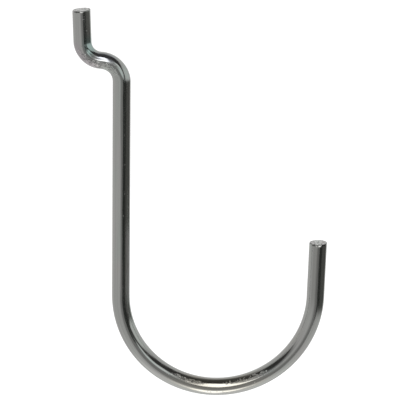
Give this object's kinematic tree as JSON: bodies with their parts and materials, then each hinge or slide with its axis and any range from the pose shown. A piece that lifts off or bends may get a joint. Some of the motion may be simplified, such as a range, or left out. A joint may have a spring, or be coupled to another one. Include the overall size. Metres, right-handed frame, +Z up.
{
  "type": "pegboard hook",
  "caption": "Bent steel wire hook for a perforated board: a short prong and a tight double bend that hold it in the hole, a long straight shank, and a wide J-shaped cradle.",
  "frame": {"origin": "on the axis of the board prong, where its straight part meets the bend", "axes": "+Z up along the shank, +X out of the board's front face, the way the cradle opens, +Y across the wire's bending plane"},
  "size_m": [0.0715, 0.0052, 0.1119],
  "materials": {
    "zinc_plate": "bright zinc plate on drawn steel wire, nearly mirror-like, with fine lines along the wire"
  },
  "bodies": {
    "root": {"hook_wire": "zinc_plate"}
  },
  "joints": []
}
